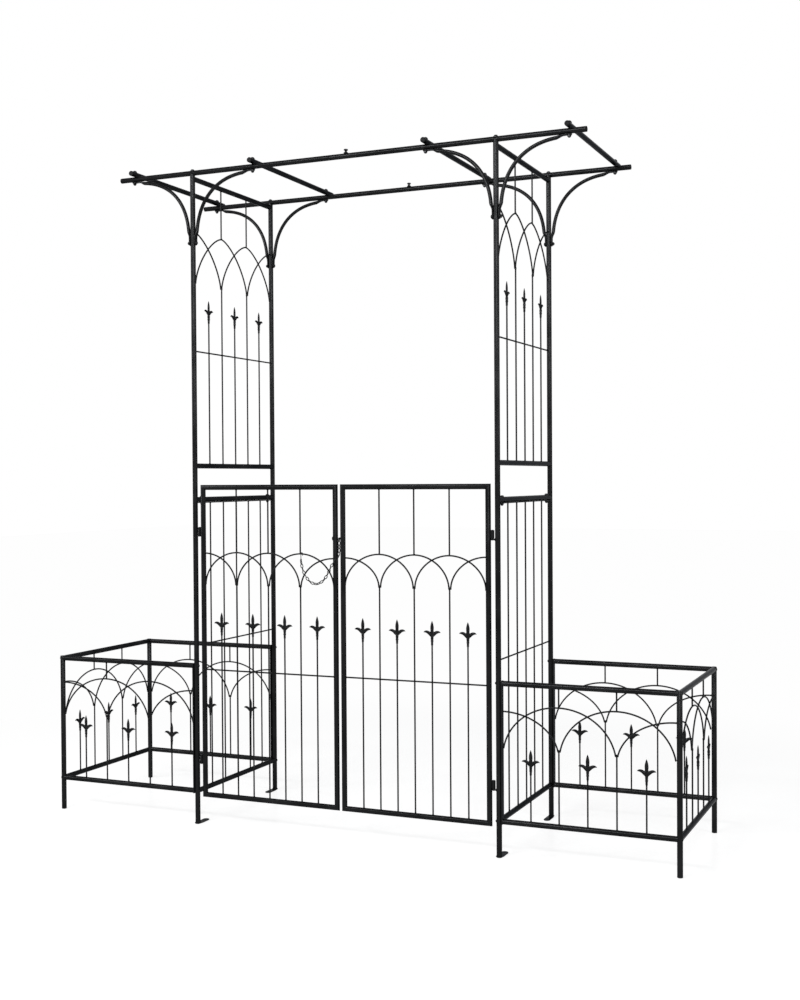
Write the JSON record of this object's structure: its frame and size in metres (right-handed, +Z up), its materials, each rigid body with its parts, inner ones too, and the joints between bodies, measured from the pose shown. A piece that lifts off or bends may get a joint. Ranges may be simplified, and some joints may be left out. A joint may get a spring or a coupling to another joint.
{
  "type": "garden arch with gate",
  "caption": "Metal garden arch with a double wire gate, open grille sides, a flat beam roof with curved brackets and an open planter frame at each side.",
  "frame": {"origin": "on the floor, midway between the four main posts", "axes": "+X along the gate to the right as seen from the front, +Y to the back, +Z up"},
  "size_m": [2.06, 0.566, 2.0743],
  "materials": {
    "coated_steel": "satin",
    "fittings": "satin"
  },
  "bodies": {
    "arch": {"post_lower_front_left": "coated_steel", "post_upper_front_left": "coated_steel", "beam_front_left": "coated_steel", "bracket_inner_front_left": "coated_steel", "bracket_outer_front_left": "coated_steel", "planter_leg_front_left": "coated_steel", "planter_front_left": "coated_steel", "post_lower_front_right": "coated_steel", "post_upper_front_right": "coated_steel", "beam_front_right": "coated_steel", "bracket_inner_front_right": "coated_steel", "bracket_outer_front_right": "coated_steel", "planter_leg_front_right": "coated_steel", "planter_front_right": "coated_steel", "post_lower_back_left": "coated_steel", "post_upper_back_left": "coated_steel", "beam_back_left": "coated_steel", "bracket_inner_back_left": "coated_steel", "bracket_outer_back_left": "coated_steel", "planter_leg_back_left": "coated_steel", "planter_back_left": "coated_steel", "post_lower_back_right": "coated_steel", "post_upper_back_right": "coated_steel", "beam_back_right": "coated_steel", "bracket_inner_back_right": "coated_steel", "bracket_outer_back_right": "coated_steel", "planter_leg_back_right": "coated_steel", "planter_back_right": "coated_steel", "side_grille_lower_left": "coated_steel", "side_rail_left": "coated_steel", "side_grille_upper_left": "coated_steel", "cross_tube_inner_left": "coated_steel", "cross_tube_outer_left": "coated_steel", "planter_end_left": "coated_steel", "side_grille_lower_right": "coated_steel", "side_rail_right": "coated_steel", "side_grille_upper_right": "coated_steel", "cross_tube_inner_right": "coated_steel", "cross_tube_outer_right": "coated_steel", "planter_end_right": "coated_steel", "hinge_pin_lower_left": "fittings", "hinge_pin_upper_left": "fittings", "hinge_pin_lower_right": "fittings", "hinge_pin_upper_right": "fittings", "thumb_screw_front": "fittings", "thumb_screw_back": "fittings"},
    "leaf_left": {"gate_leaf_left": "coated_steel", "gate_chain": "fittings", "chain_bolt": "fittings", "chain_hook": "fittings"},
    "leaf_right": {"gate_leaf_right": "coated_steel"}
  },
  "joints": [
    {"name": "gate_left_hinge", "type": "hinge", "parent": "arch", "child": "leaf_left", "pos_m": [-0.488, -0.251, 0.208], "axis": [0, 0, -1], "range_deg": [-85, 105]},
    {"name": "gate_right_hinge", "type": "hinge", "parent": "arch", "child": "leaf_right", "pos_m": [0.488, -0.251, 0.208], "axis": [0, 0, 1], "range_deg": [-85, 105]}
  ]
}
